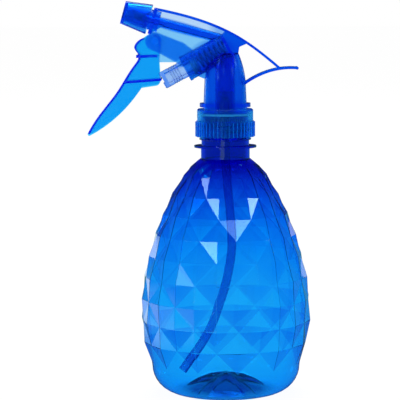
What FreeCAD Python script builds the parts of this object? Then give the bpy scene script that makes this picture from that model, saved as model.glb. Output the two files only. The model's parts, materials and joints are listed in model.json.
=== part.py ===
import FreeCAD
import Part
import math
import os

from FreeCAD import Placement, Rotation, Vector

# Trigger spray bottle, about 500 ml. Millimetres.
# The bottle's axis is Z, its standing ring lies on z = 0 and the nozzle points to -X.

# ---- bottle: wall profile, facets and base ----
WALL = 0.7                 # blown wall of the belly and the base
SHOULDER_WALL = 1.5        # the same wall under the neck, where it stretches least
EVEN_ROWS = 4              # diamond rows from the bottom that keep the thin wall
FACETS_ROUND = 12          # diamonds in one ring
FACET_ROWS = 9.5           # diamond half-heights from the lowest points to the top peaks
FACET_RELIEF = 0.9         # how far a diamond's middle stands out from its corners
FACET_TURN = 8.0           # degrees from the front to the first corner of the lowest row
BAND_BOTTOM_Z = 16.2       # lowest points of the diamonds
BAND_BOTTOM_R = 40.0
BELLY_Z = 42.5             # widest ring
BELLY_R = 44.9
WAIST_Z = 73.0
WAIST_R = 40.7
SHOULDER_Z = 96.5
SHOULDER_R = 32.5
BAND_TOP_Z = 120.5         # top peaks of the diamonds
BAND_TOP_R = 18.6
HEEL_RADIUS = 14.3         # rounded corner between the wall and the base
STAND_R = 25.0             # standing ring
STAND_WIDTH = 2.0
PUSH_UP = 6.5              # height of the domed base above the standing ring
BASE_RIBS = 5              # radial creases that stiffen the dome
BASE_RIB_RISE = 3.0        # above the dome, in its middle
BASE_RIB_HALF_FOOT = 3.2
BASE_RIB_HALF_CREST = 1.0
BASE_RIB_TURN = 18.0       # degrees from the X axis to the first rib

# ---- neck finish ----
NECK_R = 12.95             # smooth neck below the support ring
FINISH_R = 12.65           # neck under the cap
BORE_R = 10.9
SHOULDER_RISE = 4.1        # from the top peaks to the smooth neck
SUPPORT_RING_RISE = 9.6    # from the top peaks to the support ring's underside
SUPPORT_RING_R = 16.5
SUPPORT_RING_THICK = 1.6
BEAD_RISE = 13.7           # bead that a tamper band would catch on
BEAD_R = 13.7
BEAD_HEIGHT = 1.5
RIM_RISE = 26.7            # from the top peaks to the rim
GASKET_THICK = 1.1

# ---- screw cap ----
CAP_SKIRT_DROP = 11.2      # from the rim down to the cap's lower edge
CAP_HEIGHT = 14.7
CAP_TOP_R = 14.8
CAP_TOP_THICK = 1.2
CAP_BORE_R = 13.85
CAP_GRIP_R = 15.3
CAP_GRIP_HEIGHT = 8.2
CAP_RIBS = 44
CAP_RIB_HEIGHT = 0.5
CAP_RIB_WIDTH = 0.9

# ---- sprayer body: neck ----
CLAMP_FLANGE_R = 12.9      # flange that the cap pulls down
CLAMP_FLANGE_THICK = 1.1
COLLAR_R = 11.5            # where the cap turns
UPPER_FLANGE_R = 13.4
UPPER_FLANGE_GAP = 1.0     # above the cap
UPPER_FLANGE_THICK = 2.0
BELL_WALL = 1.3
BELL_FOOT_R = 11.45
BELL_SHOULDER_RISE = 18.6  # this and the next heights are above the bottle's rim
BELL_SHOULDER_R = 10.8
BELL_TOP_RISE = 32.8
BELL_TOP_R = 7.0
RISER_R = 5.25             # inner tube that carries the liquid up
RISER_BORE_R = 1.6         # where it stops the ball and where it enters the chamber
RISER_HOLLOW_R = 3.9       # between those two, cored out to an even wall
BALL_STOP_THICK = 1.4
HOLLOW_DROP = 11.0         # from the pump axis down to the hollow's roof, under the barrel
SOCKET_R = 4.2             # where the tube retainer is pushed in
SOCKET_DEPTH = 11.4

# ---- sprayer body: pump barrel ----
PUMP_TILT = 28.0           # degrees above level, rising to the rear
PUMP_AXIS_RISE = 35.75     # where the pump axis crosses the bottle's axis
BARREL_R = 6.9
CHAMBER_R = 5.6
MOUTH_AT = 23.9            # from that crossing forward along the pump axis
MOUTH_LIP = 0.25
CHAMBER_END_AT = -0.4
BARREL_END_WALL = 1.5

# ---- sprayer body: discharge tube and spigot ----
SPRAY_TILT = 15.33         # degrees above level, rising to the nozzle
SPRAY_AXIS_RISE = 39.6     # where the spray axis crosses the bottle's axis
TUBE_R = 2.5
TUBE_BORE_R = 1.4
FACE_PLATE_AT = 38.1       # from that crossing forward along the spray axis
FACE_PLATE_THICK = 1.8
FACE_PLATE_HIGH = 6.7
FACE_PLATE_LOW = 7.3
FACE_PLATE_HALF_WIDTH = 6.2
BOSS_R = 5.4
BOSS_LENGTH = 2.3
VALVE_SEAT_AT = 43.0
VALVE_BORE_R = 3.2
SPIGOT_R = 4.62

# ---- sprayer body: straps, webs and ears ----
STRAP_THICK = 1.35
STRAP_HALF_WIDTH = 4.6
MEMBRANE = 0.5             # thin web above the discharge tube
WEB = 1.2                  # web between the tube, the barrel and the ears
CREST_HALF = 3.5           # half width of the solid crest over the barrel's end
TAIL_TIP_X = 37.7
TAIL_RISE = 24.1
PIVOT_X = -36.9
PIVOT_RISE = 39.0
GUSSET_FOOT_AT = 31.0      # where the wedge under the tube runs out
GUSSET_HALF = 3.2          # half its width
WEB_FRONT_AT = 36.5        # where the webs run into the boss behind the face plate
JOIN = 0.5                 # how far one part of a moulding runs into the next
EAR_NOSE_R = 4.7
EAR_THICK = 1.3
EAR_OUTER_Y = 7.1
PIVOT_R = 1.9

# ---- trigger ----
TRIGGER_PLATE = 1.1
TRIGGER_SIDE_GAP = 0.3     # between an ear and the trigger's side plate
TRIGGER_WALL = 1.1
TRIGGER_RIB = 1.4
UPPER_RIB_DROP = 7.7       # from the pivot down to the upper cross rib
LOWER_RIB_DROP = 21.2
RIB_SLOT_LENGTH = 5.0      # rear end of the upper rib, cut back to clear web and ears
RIB_SLOT_GAP = 0.6
PUSH_GAP = 0.5             # between the lower rib's nose and the plunger's cradle at rest
RUNNING_FIT = 0.05         # radial clearance of a turning or sliding fit

# ---- pump pieces ----
PLUNGER_R = 4.65
PLUNGER_BORE_R = 2.6
PLUNGER_TIP_AT = 37.3
PLUNGER_END_WALL = 2.6
CRADLE_DEPTH = 0.8         # slot across the plunger's end, where the trigger's nose slides
CRADLE_LOW = -1.2          # below the pump axis
CRADLE_HIGH = 2.3
CRADLE_CORNER = 0.3
NOSE_RISE = 1.27           # from the pump axis up to the trigger's nose at rest
RING_GROOVES = 4           # round the plunger, in front of the barrel's mouth
RING_GROOVE_AT = 3.2       # from the mouth to the first groove
RING_GROOVE_PITCH = 1.4
RING_GROOVE_WIDTH = 0.6
RING_GROOVE_DEPTH = 0.25
PISTON_AT = 16.2           # inner face of the piston
SEAL_LENGTH = 3.4
SEAL_LIP = 0.5             # rim that keeps the seal on its core
SEAL_CORE_R = 3.7
SPRING_R = 3.4             # to the middle of the wire
SPRING_WIRE_R = 0.45
SPRING_PITCH = 3.1

# ---- inlet valve and dip tube ----
BALL_R = 2.0
BALL_LIFT = 0.65
BALL_CAGE_R = 2.3
SEAT_HOLE_R = 1.3
DIP_TUBE_R = 2.4
DIP_TUBE_BORE_R = 1.7
RETAINER_DISC_R = 10.5
PLUG_FIT = 0.02            # radial clearance where a plug is pushed home

# ---- nozzle and outlet valve ----
NOZZLE_AT = 41.2
NOZZLE_LENGTH = 14.0
NOZZLE_REAR_HALF = 7.9
NOZZLE_FRONT_HALF = 6.05
NOZZLE_CORNER = 2.6
NOZZLE_SHELL = 1.2
NOZZLE_SLEEVE = 1.0
NOZZLE_FACE = 1.8
NOZZLE_DISH_R = 3.6
NOZZLE_DISH_DEPTH = 0.9
ORIFICE_R = 0.35
NOZZLE_RIBS = 5            # grip ribs on each side
NOZZLE_RIB_REACH = 7.7     # from the rear edge forward
NOZZLE_RIB_RISE = 0.45
NOZZLE_RIB_PITCH = 2.0
NOZZLE_RIB_WIDTH = 0.7
POPPET_R = 2.6
POPPET_THICK = 1.4
POPPET_STEM_R = 1.0
POPPET_STEM = 2.0
OUTLET_SPRING_R = 2.0
OUTLET_WIRE_R = 0.25
OUTLET_SPRING_PITCH = 1.2
SWIRL_PLUG_LENGTH = 4.4

# ---- heights and places that follow from the sizes above ----
UP = Vector(0, 0, 1)
NECK_START_Z = BAND_TOP_Z + SHOULDER_RISE
SUPPORT_RING_Z = BAND_TOP_Z + SUPPORT_RING_RISE
BEAD_Z = BAND_TOP_Z + BEAD_RISE
RIM_Z = BAND_TOP_Z + RIM_RISE
CAP_SKIRT_Z = RIM_Z - CAP_SKIRT_DROP
UPPER_FLANGE_Z = CAP_SKIRT_Z + CAP_HEIGHT + UPPER_FLANGE_GAP
BELL_SHOULDER_Z = RIM_Z + BELL_SHOULDER_RISE
BELL_TOP_Z = RIM_Z + BELL_TOP_RISE
PUMP_AXIS_Z = RIM_Z + PUMP_AXIS_RISE
SPRAY_AXIS_Z = RIM_Z + SPRAY_AXIS_RISE
TAIL_Z = RIM_Z + TAIL_RISE
PIVOT_Z = RIM_Z + PIVOT_RISE
GASKET_TOP_Z = RIM_Z + GASKET_THICK
CLAMP_TOP_Z = GASKET_TOP_Z + CLAMP_FLANGE_THICK
SOCKET_TOP_Z = GASKET_TOP_Z + SOCKET_DEPTH
NOZZLE_FRONT_AT = NOZZLE_AT + NOZZLE_LENGTH
SPIGOT_TIP_AT = NOZZLE_FRONT_AT - NOZZLE_FACE - 0.1
TRIGGER_INNER_Y = EAR_OUTER_Y + TRIGGER_SIDE_GAP
TRIGGER_OUTER_Y = TRIGGER_INNER_Y + TRIGGER_PLATE


# ---- small helpers ----

def point(x, z, y=0.0):
    return Vector(x, y, z)


def ring_solid(outline):
    """Turn a closed outline of (radius, height) pairs about the Z axis."""
    corners = [point(r, z) for r, z in outline]
    face = Part.Face(Part.makePolygon(corners + corners[:1]))
    return face.revolve(Vector(0, 0, 0), UP, 360)


def disc(radius, low, high):
    return Part.makeCylinder(radius, high - low, point(0, low))


def tube(outer, inner, low, high):
    return disc(outer, low, high).cut(disc(inner, low - 1, high + 1))


def slab(outline, low_y, high_y):
    """Extrude a closed side outline of (x, z) pairs from low_y to high_y."""
    corners = [point(x, z, low_y) for x, z in outline]
    face = Part.Face(Part.makePolygon(corners + corners[:1]))
    return face.extrude(Vector(0, high_y - low_y, 0))


def smooth_curve(points):
    curve = Part.BSplineCurve()
    curve.interpolate([point(x, z) for x, z in points])
    return curve


def strap(points, thickness, half_width):
    """A strap under a smooth side curve, with its thickness measured square to the curve."""
    top = smooth_curve(points)
    under = []
    for x, z in points:
        along = top.tangent(top.parameter(point(x, z)))[0]
        under.append((x + along.z * thickness, z - along.x * thickness))
    low = smooth_curve(under)
    ends = [Part.makeLine(point(*points[-1]), point(*under[-1])),
            Part.makeLine(point(*under[0]), point(*points[0]))]
    wire = Part.Wire(Part.__sortEdges__([top.toShape(), low.toShape()] + ends))
    face = Part.Face(wire)
    face.translate(Vector(0, -half_width, 0))
    return face.extrude(Vector(0, 2 * half_width, 0))


def along_pump(shape):
    """Lay a shape made along +Z on the pump axis; +Z then points out of the mouth."""
    turn = Rotation(Vector(0, 1, 0), 270 - PUMP_TILT)
    shape.Placement = Placement(point(0, PUMP_AXIS_Z), turn).multiply(shape.Placement)
    return shape


def along_spray(shape):
    """Lay a shape made along +Z on the spray axis; +Z then points to the nozzle."""
    turn = Rotation(Vector(0, 1, 0), 270 + SPRAY_TILT)
    shape.Placement = Placement(point(0, SPRAY_AXIS_Z), turn).multiply(shape.Placement)
    return shape


def spray_point(along, across):
    """Side-view place of a point on the spray axis: how far forward, how far above it."""
    tilt = math.radians(SPRAY_TILT)
    x = -along * math.cos(tilt) + across * math.sin(tilt)
    z = SPRAY_AXIS_Z + along * math.sin(tilt) + across * math.cos(tilt)
    return (x, z)


def pump_point(along, across):
    """Side-view place of a point on the pump axis: how far forward, how far above it."""
    tilt = math.radians(PUMP_TILT)
    x = -along * math.cos(tilt) - across * math.sin(tilt)
    z = PUMP_AXIS_Z - along * math.sin(tilt) + across * math.cos(tilt)
    return (x, z)


def head_point(x, rise):
    """Side-view place of a point at that height above the bottle's rim."""
    return (x, RIM_Z + rise)


def lever_point(back, up):
    """Side-view place of a point behind and above the trigger's pivot."""
    return (PIVOT_X + back, PIVOT_Z + up)


def fuse_all(shapes):
    return shapes[0].multiFuse(shapes[1:]).removeSplitter()


def coil(radius, wire_radius, pitch, low, high):
    """A helical spring between two heights on the Z axis."""
    helix = Part.makeHelix(pitch, high - low - 2 * wire_radius, radius)
    circle = Part.makeCircle(wire_radius, Vector(radius, 0, 0), Vector(0, 1, 0))
    spring = Part.Wire(helix).makePipeShell([Part.Wire(circle)], True, True)
    spring.translate(point(0, low + wire_radius))
    return spring


# ---- bottle ----

def wall_curve():
    """Wall profile from the lowest diamond points to the top peaks, as x = radius."""
    return smooth_curve([(BAND_BOTTOM_R, BAND_BOTTOM_Z), (BELLY_R, BELLY_Z),
                         (WAIST_R, WAIST_Z), (SHOULDER_R, SHOULDER_Z),
                         (BAND_TOP_R, BAND_TOP_Z)])


def row_places():
    """(radius, height, outward normal) of each diamond row, evenly spaced up the wall."""
    curve = wall_curve()
    step = curve.length() / FACET_ROWS
    places = []
    for row in range(int(FACET_ROWS) + 2):
        run = min(row * step, curve.length())
        at = curve.parameterAtDistance(run, curve.FirstParameter)
        spot = curve.value(at)
        along = curve.tangent(at)[0]
        places.append((spot.x, spot.z, Vector(along.z, 0, -along.x)))
    return places


def wall_point(place, angle, lift):
    """A point on the wall: a row's place, turned by angle and lifted along the normal."""
    radius, height, normal = place
    r = radius + normal.x * lift
    return Vector(r * math.sin(angle), -r * math.cos(angle), height + normal.z * lift)


def cone_patch(place, lift, left, right, tip):
    """Curved triangle from a row's round edge to a diamond corner on the next row."""
    half = (right - left) / 2
    radius, height, normal = place
    ends = [wall_point(place, a, lift) for a in (left, right)]
    r = (radius + normal.x * lift) / math.cos(half)
    middle = Vector(r * math.sin(left + half), -r * math.cos(left + half), ends[0].z)
    weight = math.cos(half)
    surface = Part.BSplineSurface()
    surface.buildFromPolesMultsKnots(
        [[ends[0], tip], [middle, tip], [ends[1], tip]],
        [3, 3], [2, 2], [0, 1], [0, 1], False, False, 2, 1,
        [[1, 1], [weight, weight], [1, 1]])
    return surface.toShape()


def wall_at(row):
    """Wall behind a diamond row: even over the belly, then thicker toward the neck."""
    top = int(FACET_ROWS) + 1
    share = max(0, row - EVEN_ROWS) / (top - EVEN_ROWS)
    return WALL + (SHOULDER_WALL - WALL) * share


def faceted_band(inset_at):
    """Closed solid of the diamond band; inset_at(row) moves a row in along its normal."""
    rows = row_places()
    step = 2 * math.pi / FACETS_ROUND

    def dip(row):
        return -FACET_RELIEF / 2 - inset_at(row)

    def angle(row, place):
        return math.radians(FACET_TURN) + place * step + (step / 2 if row % 2 else 0)

    def triangle(a, b, c):
        return Part.Face(Part.makePolygon([a, b, c, a]))

    faces = []
    for row in range(1, len(rows) - 1):
        for place in range(FACETS_ROUND):
            left, right = angle(row, place), angle(row, place + 1)
            middle = (left + right) / 2
            corners = [wall_point(rows[row], left, dip(row)),
                       wall_point(rows[row + 1], middle, dip(row + 1)),
                       wall_point(rows[row], right, dip(row)),
                       wall_point(rows[row - 1], middle, dip(row - 1))]
            peak = wall_point(rows[row], middle, dip(row) + FACET_RELIEF)
            for i in range(4):
                faces.append(triangle(corners[i], corners[(i + 1) % 4], peak))
    top = len(rows) - 1
    for row, beyond in ((0, 1), (top, top - 1)):
        rim = []
        for place in range(FACETS_ROUND):
            left, right = angle(row, place), angle(row, place + 1)
            tip = wall_point(rows[beyond], (left + right) / 2, dip(beyond))
            faces.append(cone_patch(rows[row], dip(row), left, right, tip))
            spots = (left, (left + right) / 2, right)
            ends = [wall_point(rows[row], a, dip(row)) for a in spots]
            rim.append(Part.Arc(*ends).toShape())
        faces.append(Part.Face(Part.Wire(rim)))
    skin = Part.makeCompound(faces)
    skin.sewShape(0.001)
    solid = Part.Solid(skin.Shells[0])
    if solid.Volume < 0:
        solid.reverse()
    return solid


def band_end(row, inset):
    """Radius and height of the round edge at an end of the band."""
    radius, height, normal = row_places()[row]
    lift = -FACET_RELIEF / 2 - inset
    return radius + normal.x * lift, height + normal.z * lift


def dome_edge(foot_z, top_z):
    """Side view of a dome, from the standing ring's inner edge to the bottle's axis."""
    foot_r = STAND_R - STAND_WIDTH
    rise = top_z - foot_z
    radius = (foot_r ** 2 + rise ** 2) / (2 * rise)
    swing = math.asin(foot_r / radius) / 2
    middle = point(radius * math.sin(swing), top_z - radius * (1 - math.cos(swing)))
    return Part.Arc(point(foot_r, foot_z), middle, point(0, top_z)).toShape()


def base_solid(inset):
    """Rounded heel, standing ring and domed base up to the band."""
    top_r, top_z = band_end(0, inset)
    foot_r = STAND_R - STAND_WIDTH
    heel = HEEL_RADIUS - inset
    diagonal = heel * math.sqrt(0.5)
    edges = [
        Part.makeLine(point(top_r, top_z), point(STAND_R + heel, HEEL_RADIUS)),
        Part.Arc(point(STAND_R + heel, HEEL_RADIUS),
                 point(STAND_R + diagonal, HEEL_RADIUS - diagonal),
                 point(STAND_R, inset)).toShape(),
        Part.makeLine(point(STAND_R, inset), point(foot_r, inset)),
        dome_edge(inset, PUSH_UP + inset),
        Part.makeLine(point(0, PUSH_UP + inset), point(0, top_z)),
        Part.makeLine(point(0, top_z), point(top_r, top_z)),
    ]
    body = Part.Face(Part.Wire(edges)).revolve(Vector(0, 0, 0), UP, 360)
    return body.cut(base_ribs(inset))


def base_ribs(inset):
    """Creases pushed up into the dome: a taller dome, kept only along the ribs."""
    top = PUSH_UP + BASE_RIB_RISE + inset
    foot_r = STAND_R - STAND_WIDTH
    edges = [dome_edge(inset, top), Part.makeLine(point(0, top), point(0, inset)),
             Part.makeLine(point(0, inset), point(foot_r, inset))]
    dome = Part.Face(Part.Wire(edges)).revolve(Vector(0, 0, 0), UP, 360)
    foot = BASE_RIB_HALF_FOOT + inset
    crest = BASE_RIB_HALF_CREST + inset
    section = [Vector(0, -foot, inset), Vector(0, foot, inset),
               Vector(0, crest, top), Vector(0, -crest, top), Vector(0, -foot, inset)]
    bars = []
    for i in range(BASE_RIBS):
        bar = Part.Face(Part.makePolygon(section)).extrude(Vector(foot_r, 0, 0))
        bar.rotate(Vector(0, 0, 0), UP, BASE_RIB_TURN + 360 / BASE_RIBS * i)
        bars.append(bar)
    return fuse_all(bars).common(dome)


def neck_outside():
    """Short shoulder above the band, neck, support ring, bead and threaded finish."""
    top_r, top_z = band_end(-1, 0)
    ring_top = SUPPORT_RING_Z + SUPPORT_RING_THICK
    fillet = NECK_START_Z - 1.2
    return ring_solid([
        (0, top_z), (top_r, top_z), (NECK_R + 1.6, fillet), (NECK_R, NECK_START_Z),
        (NECK_R, SUPPORT_RING_Z), (SUPPORT_RING_R, SUPPORT_RING_Z + 0.3),
        (SUPPORT_RING_R, ring_top - 0.3), (FINISH_R, ring_top),
        (FINISH_R, BEAD_Z), (BEAD_R, BEAD_Z + 0.3), (BEAD_R, BEAD_Z + BEAD_HEIGHT - 0.6),
        (FINISH_R, BEAD_Z + BEAD_HEIGHT), (FINISH_R, RIM_Z - 0.4), (FINISH_R - 0.4, RIM_Z),
        (0, RIM_Z)])


def neck_inside():
    top_r, top_z = band_end(-1, SHOULDER_WALL)
    return ring_solid([(0, top_z), (top_r, top_z), (BORE_R, NECK_START_Z - 0.6),
                       (BORE_R, RIM_Z + 1), (0, RIM_Z + 1)])


def make_bottle():
    outside = fuse_all([faceted_band(lambda row: 0), base_solid(0), neck_outside()])
    inside = fuse_all([faceted_band(wall_at), base_solid(WALL), neck_inside()])
    return outside.cut(inside)


# ---- closure ----

def make_gasket():
    return tube(FINISH_R - 0.2, BORE_R, RIM_Z, GASKET_TOP_Z)


def make_screw_cap():
    top = CAP_SKIRT_Z + CAP_HEIGHT
    grip_top = CAP_SKIRT_Z + CAP_GRIP_HEIGHT
    shell = ring_solid([
        (CAP_BORE_R, CAP_SKIRT_Z), (CAP_GRIP_R, CAP_SKIRT_Z), (CAP_GRIP_R, grip_top),
        (CAP_TOP_R, grip_top + 0.3), (CAP_TOP_R, top - 0.6), (CAP_TOP_R - 0.6, top),
        (COLLAR_R + 0.3, top), (COLLAR_R + 0.3, top - CAP_TOP_THICK),
        (CAP_BORE_R, top - CAP_TOP_THICK)])
    ribs = []
    root = CAP_GRIP_R - 0.2
    crest = CAP_GRIP_R + CAP_RIB_HEIGHT
    half = CAP_RIB_WIDTH / 2
    outline = [Vector(root, -half, 0), Vector(crest, -half * 0.55, 0),
               Vector(crest, half * 0.55, 0), Vector(root, half, 0), Vector(root, -half, 0)]
    rib = Part.Face(Part.makePolygon(outline)).extrude(point(0, CAP_GRIP_HEIGHT - 0.5))
    rib.translate(point(0, CAP_SKIRT_Z + 0.2))
    for i in range(CAP_RIBS):
        copy = rib.copy()
        copy.rotate(Vector(0, 0, 0), UP, 360 / CAP_RIBS * i)
        ribs.append(copy)
    return shell.multiFuse(ribs)


# ---- sprayer body ----

def bell_outline(inset):
    """Side curve of the sprayer's neck, from the upper flange to under the barrel."""
    return [(BELL_FOOT_R - inset, UPPER_FLANGE_Z), (BELL_SHOULDER_R - inset, BELL_SHOULDER_Z),
            (BELL_SHOULDER_R - 0.9 - inset, BELL_SHOULDER_Z + 5.4),
            (BELL_TOP_R - inset, BELL_TOP_Z - inset)]


def bell(inset, foot_z):
    outline = bell_outline(inset)
    side = smooth_curve(outline[1:]).toShape()
    low = outline[0]
    edges = [Part.makeLine(point(0, foot_z), point(low[0], foot_z)),
             Part.makeLine(point(low[0], foot_z), point(*outline[1])),
             side,
             Part.makeLine(point(*outline[-1]), point(0, outline[-1][1])),
             Part.makeLine(point(0, outline[-1][1]), point(0, foot_z))]
    return Part.Face(Part.Wire(edges)).revolve(Vector(0, 0, 0), UP, 360)


def sprayer_neck():
    """Flanges that the cap holds, and the hollow bell above them."""
    flange_top = UPPER_FLANGE_Z + UPPER_FLANGE_THICK
    outside = fuse_all([
        bell(0, UPPER_FLANGE_Z),
        disc(CLAMP_FLANGE_R, GASKET_TOP_Z, CLAMP_TOP_Z),
        disc(COLLAR_R, GASKET_TOP_Z, UPPER_FLANGE_Z + 0.5),
        disc(UPPER_FLANGE_R, UPPER_FLANGE_Z, flange_top)])
    hollow = bell(BELL_WALL, GASKET_TOP_Z - 1)
    return outside.cut(hollow)


def barrel():
    end = CHAMBER_END_AT - BARREL_END_WALL
    body = disc(BARREL_R, end, MOUTH_AT)
    lip = disc(BARREL_R + MOUTH_LIP, MOUTH_AT - 1.6, MOUTH_AT)
    return along_pump(body.fuse(lip))


def strap_points():
    """Top edge of the long strap, from the face plate over the barrel to the tail."""
    front = spray_point(FACE_PLATE_AT + FACE_PLATE_THICK, FACE_PLATE_HIGH)
    return [front, head_point(-19.0, 52.4), head_point(-2.7, 46.6), head_point(8.0, 41.1),
            head_point(19.6, 33.0), head_point(29.4, 24.9)]


def under_strap(spots):
    """The strap's points, lowered into the middle of its thickness, for a web to end in."""
    return [(x, z - STRAP_THICK / 2) for x, z in spots]


def tail_strap():
    """Curved lower strut of the rear loop, running out into the flat tail."""
    top = TAIL_Z + STRAP_THICK
    return strap([head_point(9.6, 17.2), head_point(17.0, 21.6), head_point(23.6, 24.1),
                  (30.0, top - 0.1), (TAIL_TIP_X, top)], STRAP_THICK, STRAP_HALF_WIDTH)


def tail_bead():
    """Rounded end of the tail."""
    radius = STRAP_THICK / 2 + 0.15
    bead = Part.makeCylinder(radius, 2 * STRAP_HALF_WIDTH,
                             point(TAIL_TIP_X, TAIL_Z + STRAP_THICK / 2, -STRAP_HALF_WIDTH),
                             Vector(0, 1, 0))
    return bead


def face_plate():
    """Plate behind the nozzle, square to the spray axis, with rounded corners."""
    plate = Part.makeBox(FACE_PLATE_HIGH + FACE_PLATE_LOW, 2 * FACE_PLATE_HALF_WIDTH,
                         FACE_PLATE_THICK,
                         Vector(-FACE_PLATE_LOW, -FACE_PLATE_HALF_WIDTH, FACE_PLATE_AT))
    upright = [e for e in plate.Edges if abs(e.tangentAt(e.FirstParameter).z) > 0.9]
    return along_spray(plate.makeFillet(1.5, upright))


def spigot():
    """Boss behind the plate, discharge tube and the spigot that carries the nozzle."""
    boss = disc(BOSS_R, FACE_PLATE_AT - BOSS_LENGTH, NOZZLE_AT - 0.15)
    pipe = disc(TUBE_R, 2.0, FACE_PLATE_AT)
    nose = disc(SPIGOT_R, FACE_PLATE_AT, SPIGOT_TIP_AT)
    return along_spray(fuse_all([boss, pipe, nose]))


def gusset():
    """Wedge under the tube that props the face plate."""
    front = FACE_PLATE_AT + JOIN
    return slab([spray_point(front, -FACE_PLATE_LOW + 0.2), spray_point(front, 1.0),
                 spray_point(GUSSET_FOOT_AT, 1.0)], -GUSSET_HALF, GUSSET_HALF)


def ear_outline():
    """Side outline of an ear: a round nose at the pivot and a broad root on the barrel."""
    pivot = Vector(PIVOT_X, 0, PIVOT_Z)
    lower = point(*lever_point(3.0, -6.4))
    upper = point(*lever_point(10.4, 0.9))

    def touch(corner, side):
        # where a line from corner touches the nose circle
        reach = pivot - corner
        swing = math.degrees(math.asin(EAR_NOSE_R / reach.Length)) * side
        line = Rotation(Vector(0, 1, 0), swing).multVec(reach)
        line.normalize()
        return corner + line * math.sqrt(reach.Length ** 2 - EAR_NOSE_R ** 2)

    low_touch = touch(lower, -1)
    high_touch = touch(upper, 1)
    nose_tip = pivot + (pivot - (low_touch + high_touch) / 2).normalize() * EAR_NOSE_R
    root_low = point(*pump_point(MOUTH_AT, 1.5))
    root_in = point(*pump_point(MOUTH_AT - 9, 1.5))
    root_high = point(*pump_point(15.5, BARREL_R - 0.4))
    bend = point(*lever_point(15.1, -0.9))
    corners = [high_touch, upper, bend, root_high, root_in, root_low, lower, low_touch]
    edges = [Part.makeLine(a, b) for a, b in zip(corners, corners[1:])]
    edges.append(Part.Arc(low_touch, nose_tip, high_touch).toShape())
    return Part.Face(Part.Wire(edges))


def ears():
    pair = []
    for inner in (EAR_OUTER_Y - EAR_THICK, -EAR_OUTER_Y):
        plate = ear_outline()
        plate.translate(Vector(0, inner, 0))
        pair.append(plate.extrude(Vector(0, EAR_THICK, 0)))
    return pair


def webs():
    """Thin upright webs in the middle plane that tie the tube, barrel, ears and strap."""
    top = under_strap(strap_points())
    behind = head_point(-2.6, 41.2)
    above = slab([spray_point(WEB_FRONT_AT, 1.5), spray_point(WEB_FRONT_AT, 5.5), top[1], top[2],
                  head_point(0.5, 44.2), behind], -MEMBRANE / 2, MEMBRANE / 2)
    between = slab([spray_point(WEB_FRONT_AT, -1.5), spray_point(5.0, -1.0), pump_point(2.0, 5.0),
                    pump_point(MOUTH_AT - 2, BARREL_R - 0.7), lever_point(11.3, -11.0),
                    lever_point(2.0, -11.0), lever_point(2.0, 0), lever_point(-1.7, 4.4)],
                   -WEB / 2, WEB / 2)
    crest = slab([behind, head_point(0.2, 44.4), head_point(2.7, 43.1), top[3],
                  head_point(12.6, 37.3), head_point(11.7, 37.7), head_point(7.5, 35.9),
                  (BELL_TOP_R, BELL_TOP_Z), (2.0, BELL_TOP_Z)], -CREST_HALF, CREST_HALF)
    corner = slab([pump_point(MOUTH_AT - 7, -BARREL_R + 0.4), head_point(-9.9, 24.8),
                   head_point(-10.2, 19.0), pump_point(MOUTH_AT - 4.2, -BARREL_R + 0.3)],
                  -WEB / 2, WEB / 2)
    return [above, between, crest, corner]


def flow_bores():
    """Everything the liquid runs through, cut out of the finished body."""
    chamber = along_pump(disc(CHAMBER_R, CHAMBER_END_AT, MOUTH_AT + 1))
    mouth_clear = along_pump(disc(CHAMBER_R, MOUTH_AT, MOUTH_AT + 16))
    discharge = along_spray(disc(TUBE_BORE_R, 1.5, VALVE_SEAT_AT + 0.5))
    valve = along_spray(disc(VALVE_BORE_R, VALVE_SEAT_AT, SPIGOT_TIP_AT + 1))
    riser = disc(RISER_BORE_R, GASKET_TOP_Z, PUMP_AXIS_Z - CHAMBER_R)
    hollow = disc(RISER_HOLLOW_R, SOCKET_TOP_Z + BALL_STOP_THICK, PUMP_AXIS_Z - HOLLOW_DROP)
    socket = disc(SOCKET_R, GASKET_TOP_Z - 1, SOCKET_TOP_Z)
    return [chamber, mouth_clear, discharge, valve, riser, hollow, socket]


def pivot_holes():
    return [Part.makeCylinder(PIVOT_R + RUNNING_FIT, 2 * EAR_OUTER_Y + 2,
                              point(PIVOT_X, PIVOT_Z, -EAR_OUTER_Y - 1), Vector(0, 1, 0))]


def make_sprayer_body():
    riser = disc(RISER_R, GASKET_TOP_Z, PUMP_AXIS_Z - 2.0)
    body = [sprayer_neck(), riser, barrel(), face_plate(), spigot(), gusset(),
            strap(strap_points(), STRAP_THICK, STRAP_HALF_WIDTH), tail_strap(), tail_bead()]
    solid = fuse_all(body + ears() + webs())
    for cutter in flow_bores() + pivot_holes():
        solid = solid.cut(cutter)
    return solid


# ---- trigger ----

def trigger_front():
    """Front edge of the trigger, from beside the pivot down to the tip."""
    return [lever_point(-5.9, 1.7), lever_point(-8.5, 0.3), lever_point(-10.4, -3.2),
            lever_point(-8.3, -6.9), lever_point(-10.8, -12.6), lever_point(-19.3, -25.7),
            lever_point(-29.9, -39.4), lever_point(-35.1, -47.8)]


def trigger_back():
    """Back edge from the tip up to the plunger."""
    return [lever_point(-33.5, -48.7), lever_point(-25.7, -43.9), lever_point(-15.1, -34.6),
            lever_point(-6.8, -24.1)]


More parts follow.
